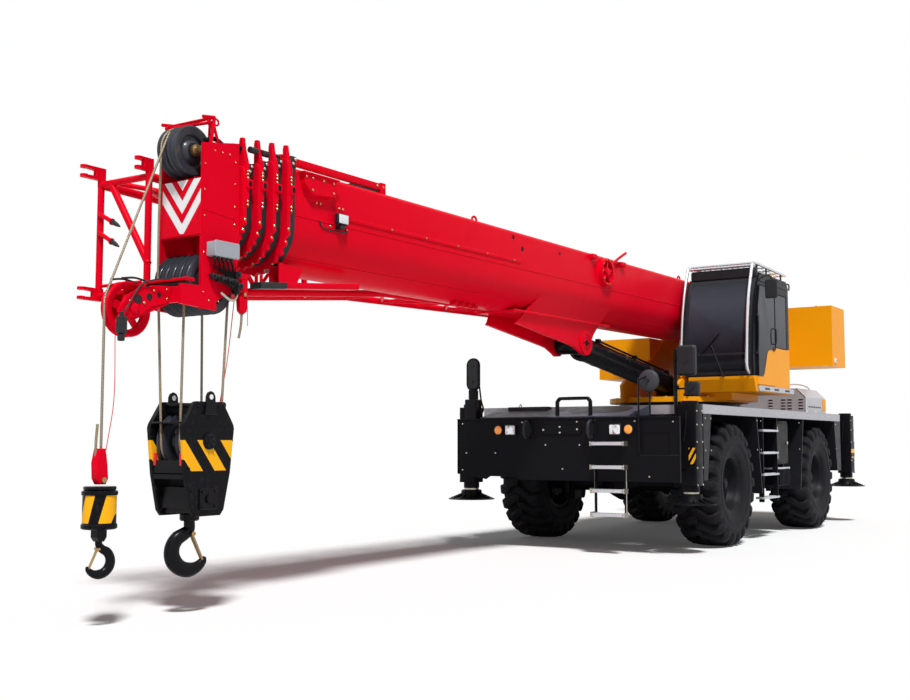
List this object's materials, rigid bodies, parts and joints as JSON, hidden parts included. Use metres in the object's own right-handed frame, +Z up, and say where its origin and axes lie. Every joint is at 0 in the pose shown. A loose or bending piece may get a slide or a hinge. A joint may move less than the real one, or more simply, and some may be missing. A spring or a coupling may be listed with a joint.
{
  "type": "rough terrain crane",
  "caption": "Rough terrain crane on steered wheels, with outriggers, slewing house, offset cab, telescopic boom, stowed lattice jib and two hooks.",
  "frame": {"origin": "on the ground under the middle of the crane's box", "axes": "+X forward along the boom, +Y to the crane's left, +Z up"},
  "size_m": [14.6437, 3.41, 3.794],
  "materials": {
    "carrier_black": "semi-gloss black paint",
    "deck_grey": "grey anti-slip deck plate with a silver edge",
    "hood_silver": "silver grey paint",
    "boom_red": "glossy red paint",
    "house_yellow": "glossy orange yellow paint",
    "tyre_rubber": "black rubber, dusty at the lugs",
    "sheave_dark": "dark grey, greased",
    "cylinder_black": "glossy black paint",
    "tinted_glass": "dark tinted glass",
    "guard_silver": "bright tube",
    "seat_dark": "dark woven cloth",
    "rope_steel": "greased wire rope and sheaves",
    "hook_black": "black with yellow stripes"
  },
  "bodies": {
    "carrier": {"carrier_frame": "carrier_black", "front_apron": "carrier_black", "carrier_deck": "deck_grey", "engine_hood": "hood_silver", "engine_block": "carrier_black", "side_box_ladder": "carrier_black", "fuel_tank": "carrier_black", "mirror_right": "carrier_black", "mirror_left": "carrier_black", "front_axle": "carrier_black", "rear_axle": "carrier_black"},
    "steering_front_left": {"knuckle_front_left": "carrier_black"},
    "wheel_front_left": {"rim_front_left": "carrier_black", "tyre_front_left": "tyre_rubber"},
    "beam_front_left": {"outrigger_beam_front_left": "carrier_black"},
    "jack_front_left": {"outrigger_jack_front_left": "carrier_black"},
    "steering_front_right": {"knuckle_front_right": "carrier_black"},
    "wheel_front_right": {"rim_front_right": "carrier_black", "tyre_front_right": "tyre_rubber"},
    "beam_front_right": {"outrigger_beam_front_right": "carrier_black"},
    "jack_front_right": {"outrigger_jack_front_right": "carrier_black"},
    "steering_rear_left": {"knuckle_rear_left": "carrier_black"},
    "wheel_rear_left": {"rim_rear_left": "carrier_black", "tyre_rear_left": "tyre_rubber"},
    "beam_rear_left": {"outrigger_beam_rear_left": "carrier_black"},
    "jack_rear_left": {"outrigger_jack_rear_left": "carrier_black"},
    "steering_rear_right": {"knuckle_rear_right": "carrier_black"},
    "wheel_rear_right": {"rim_rear_right": "carrier_black", "tyre_rear_right": "tyre_rubber"},
    "beam_rear_right": {"outrigger_beam_rear_right": "carrier_black"},
    "jack_rear_right": {"outrigger_jack_rear_right": "carrier_black"},
    "house": {"turntable": "house_yellow", "counterweight": "house_yellow", "winches": "sheave_dark", "cab_shell": "house_yellow", "cab_windscreen": "tinted_glass", "cab_guard": "guard_silver", "cab_seat": "seat_dark"},
    "door": {"cab_door": "house_yellow"},
    "boom": {"boom_base": "boom_red", "jib": "boom_red"},
    "second_section": {"boom_section_2": "boom_red"},
    "third_section": {"boom_section_3": "boom_red"},
    "fourth_section": {"boom_section_4": "boom_red"},
    "head": {"boom_head": "boom_red", "head_sheaves": "sheave_dark", "lower_sheaves": "sheave_dark", "nose_sheave": "boom_red"},
    "cylinder_barrel": {"lift_cylinder_barrel": "cylinder_black"},
    "cylinder_rod": {"lift_cylinder_rod": "cylinder_black"},
    "main_block": {"main_falls": "rope_steel", "hook_block": "hook_black"},
    "main_hook": {"main_hook": "hook_black"},
    "aux_block": {"aux_hook": "hook_black"}
  },
  "joints": [
    {"name": "steer_front_left", "type": "hinge", "parent": "carrier", "child": "steering_front_left", "pos_m": [-1.4179, 0.86, 0.775], "axis": [0, 0, 1], "range_deg": [-26, 26]},
    {"name": "steer_front_right", "type": "hinge", "parent": "carrier", "child": "steering_front_right", "pos_m": [-1.4179, -0.86, 0.775], "axis": [0, 0, 1], "range_deg": [-26, 26]},
    {"name": "steer_rear_left", "type": "hinge", "parent": "carrier", "child": "steering_rear_left", "pos_m": [-5.1149, 0.86, 0.775], "axis": [0, 0, 1], "range_deg": [-26, 26]},
    {"name": "steer_rear_right", "type": "hinge", "parent": "carrier", "child": "steering_rear_right", "pos_m": [-5.1149, -0.86, 0.775], "axis": [0, 0, 1], "range_deg": [-26, 26]},
    {"name": "roll_front_left", "type": "hinge", "parent": "steering_front_left", "child": "wheel_front_left", "pos_m": [-1.4179, 1.22, 0.775], "axis": [0, 1, 0], "continuous": true},
    {"name": "roll_front_right", "type": "hinge", "parent": "steering_front_right", "child": "wheel_front_right", "pos_m": [-1.4179, -1.22, 0.775], "axis": [0, 1, 0], "continuous": true},
    {"name": "roll_rear_left", "type": "hinge", "parent": "steering_rear_left", "child": "wheel_rear_left", "pos_m": [-5.1149, 1.22, 0.775], "axis": [0, 1, 0], "continuous": true},
    {"name": "roll_rear_right", "type": "hinge", "parent": "steering_rear_right", "child": "wheel_rear_right", "pos_m": [-5.1149, -1.22, 0.775], "axis": [0, 1, 0], "continuous": true},
    {"name": "beam_slide_front_left", "type": "slide", "parent": "carrier", "child": "beam_front_left", "axis": [0, 1, 0], "range_m": [0, 1.9]},
    {"name": "jack_slide_front_left", "type": "slide", "parent": "beam_front_left", "child": "jack_front_left", "axis": [0, 0, -1], "range_m": [0, 0.57]},
    {"name": "beam_slide_front_right", "type": "slide", "parent": "carrier", "child": "beam_front_right", "axis": [0, -1, 0], "range_m": [0, 1.9]},
    {"name": "jack_slide_front_right", "type": "slide", "parent": "beam_front_right", "child": "jack_front_right", "axis": [0, 0, -1], "range_m": [0, 0.57]},
    {"name": "beam_slide_rear_left", "type": "slide", "parent": "carrier", "child": "beam_rear_left", "axis": [0, 1, 0], "range_m": [0, 1.9]},
    {"name": "jack_slide_rear_left", "type": "slide", "parent": "beam_rear_left", "child": "jack_rear_left", "axis": [0, 0, -1], "range_m": [0, 0.57]},
    {"name": "beam_slide_rear_right", "type": "slide", "parent": "carrier", "child": "beam_rear_right", "axis": [0, -1, 0], "range_m": [0, 1.9]},
    {"name": "jack_slide_rear_right", "type": "slide", "parent": "beam_rear_right", "child": "jack_rear_right", "axis": [0, 0, -1], "range_m": [0, 0.57]},
    {"name": "slew", "type": "hinge", "parent": "carrier", "child": "house", "pos_m": [-3.2809, 0, 1.859], "axis": [0, 0, 1], "continuous": true},
    {"name": "door_slide", "type": "slide", "parent": "house", "child": "door", "axis": [-1, 0, 0], "range_m": [0, 0.66]},
    {"name": "boom_lift", "type": "hinge", "parent": "house", "child": "boom", "pos_m": [-4.6808, 0, 2.98], "axis": [0, -1, 0], "range_deg": [0, 80]},
    {"name": "boom_slide_2", "type": "slide", "parent": "boom", "child": "second_section", "axis": [1, 0, -0.0083], "range_m": [0, 7.9]},
    {"name": "boom_slide_3", "type": "slide", "parent": "second_section", "child": "third_section", "axis": [1, 0, -0.0083], "range_m": [0, 7.9]},
    {"name": "boom_slide_4", "type": "slide", "parent": "third_section", "child": "fourth_section", "axis": [1, 0, -0.0083], "range_m": [0, 7.9]},
    {"name": "boom_slide_5", "type": "slide", "parent": "fourth_section", "child": "head", "axis": [1, 0, -0.0083], "range_m": [0, 7.9]},
    {"name": "cylinder_swing", "type": "hinge", "parent": "house", "child": "cylinder_barrel", "pos_m": [-3.0309, 0, 2.1], "axis": [0, -1, 0], "range_deg": [0, 86.35]},
    {"name": "cylinder_slide", "type": "slide", "parent": "cylinder_barrel", "child": "cylinder_rod", "axis": [0.992, 0, 0.1264], "range_m": [0, 2.3603]},
    {"name": "main_fall_swing", "type": "hinge", "parent": "head", "child": "main_block", "pos_m": [6.3492, 0, 2.5], "axis": [0, -1, 0], "range_deg": [-80, 0]},
    {"name": "main_hook_swivel", "type": "hinge", "parent": "main_block", "child": "main_hook", "pos_m": [6.3492, 0, 0.7], "axis": [0, 0, 1], "continuous": true},
    {"name": "aux_fall_swing", "type": "hinge", "parent": "head", "child": "aux_block", "pos_m": [7.0042, 0, 2.25], "axis": [0, -1, 0], "range_deg": [-80, 0]}
  ],
  "couplings": [
    {"joint": "steer_front_right", "follows": "steer_front_left", "ratio": 1},
    {"joint": "steer_rear_right", "follows": "steer_rear_left", "ratio": 1},
    {"joint": "cylinder_swing", "follows": "boom_lift", "ratio": 1.0791},
    {"joint": "cylinder_slide", "follows": "boom_lift", "m_per_rad": 1.6897},
    {"joint": "main_fall_swing", "follows": "boom_lift", "ratio": -1},
    {"joint": "aux_fall_swing", "follows": "boom_lift", "ratio": -1}
  ]
}
